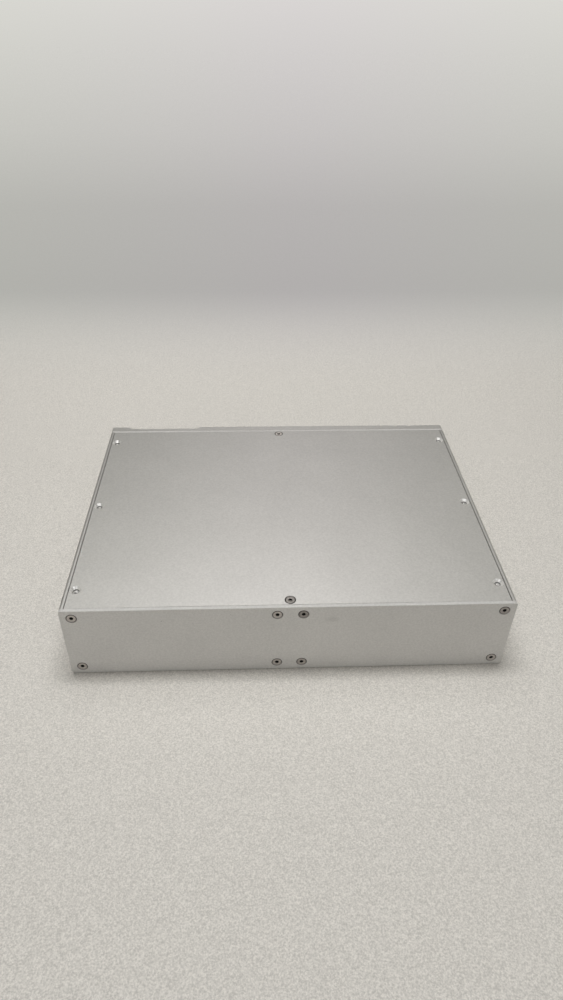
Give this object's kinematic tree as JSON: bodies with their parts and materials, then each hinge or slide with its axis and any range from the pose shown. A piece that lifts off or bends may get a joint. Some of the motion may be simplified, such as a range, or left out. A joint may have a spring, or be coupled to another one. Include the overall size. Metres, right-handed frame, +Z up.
{
  "type": "equipment chassis",
  "caption": "Low rectangular aluminium equipment case with extruded side rails, a central divider, a recessed front panel and let-in covers, held by countersunk socket screws.",
  "frame": {"origin": "on the floor under the middle of the case", "axes": "+Z up, +X across the case to the right as seen from the rear panel, +Y from the plain rear panel towards the decorated front panel"},
  "size_m": [0.25, 0.191, 0.05],
  "materials": {
    "plate_finish": "fine blasted and clear anodised, satin, with bare machined countersinks",
    "front_panel_finish": "fine blasted and clear anodised, satin, with machined chamfers",
    "rail_finish": "extruded, fine blasted and clear anodised, satin",
    "screw_steel": "turned steel, dull grey, with a dark socket"
  },
  "bodies": {
    "root": {"front_panel": "front_panel_finish", "rear_panel": "plate_finish", "left_side_rail": "rail_finish", "right_side_rail": "rail_finish", "center_divider": "rail_finish", "top_plate": "plate_finish", "underside_plate": "plate_finish", "rear_corner_screws": "screw_steel", "rear_divider_screws": "screw_steel", "front_corner_screws": "screw_steel", "front_divider_screws": "screw_steel", "top_divider_screws": "screw_steel", "underside_rail_screws": "screw_steel", "underside_divider_screws": "screw_steel"}
  },
  "joints": []
}
